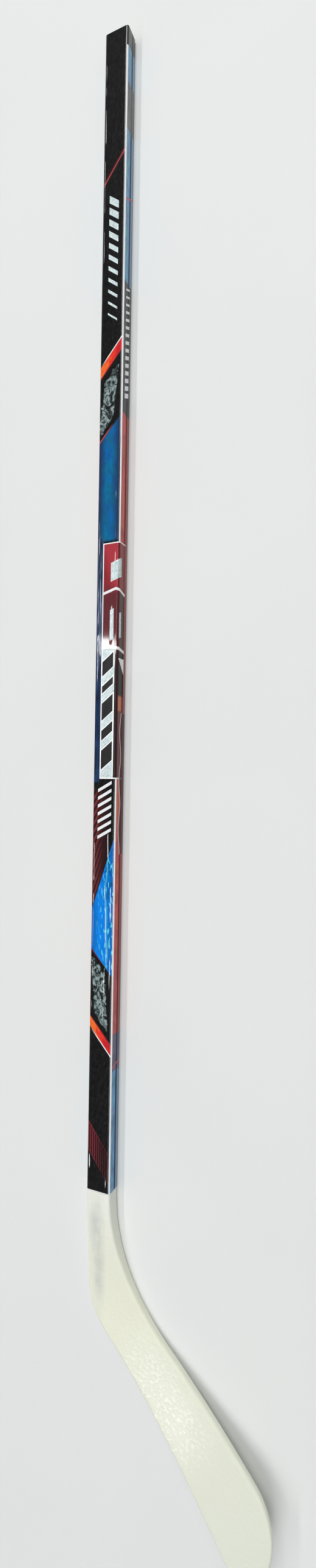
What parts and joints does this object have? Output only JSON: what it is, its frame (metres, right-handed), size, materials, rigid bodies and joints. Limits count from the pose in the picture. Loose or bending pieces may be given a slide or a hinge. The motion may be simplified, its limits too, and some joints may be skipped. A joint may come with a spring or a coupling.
{
  "type": "street hockey stick",
  "caption": "Full-size street hockey stick with a laminated wooden shaft in a glossy printed film and a moulded ivory plastic blade, hooked to one side.",
  "frame": {"origin": "centre of the shaft's butt end", "axes": "+Y along the shaft, out of its butt end; +X towards the side that the blade leaves on; +Z out of the shaft's front face, the side that the blade's toe hooks to"},
  "size_m": [0.2158, 1.5977, 0.0416],
  "materials": {
    "face_wood": "planed hardwood face ply, bare at the butt end",
    "core_wood": "sawn hardwood core ply, bare at the butt end",
    "printed_film": "glossy heat-shrunk film, printed in black, red, blue and silver with fine lengthwise wrinkles",
    "ivory_plastic": "satin moulded plastic, slightly translucent, with a fine pebble grain"
  },
  "bodies": {
    "root": {"face_ply_back": "face_wood", "core_ply_1": "core_wood", "core_ply_2": "core_wood", "core_ply_3": "core_wood", "core_ply_4": "core_wood", "core_ply_5": "core_wood", "face_ply_front": "face_wood", "film_sleeve": "printed_film", "blade": "ivory_plastic"}
  },
  "joints": []
}
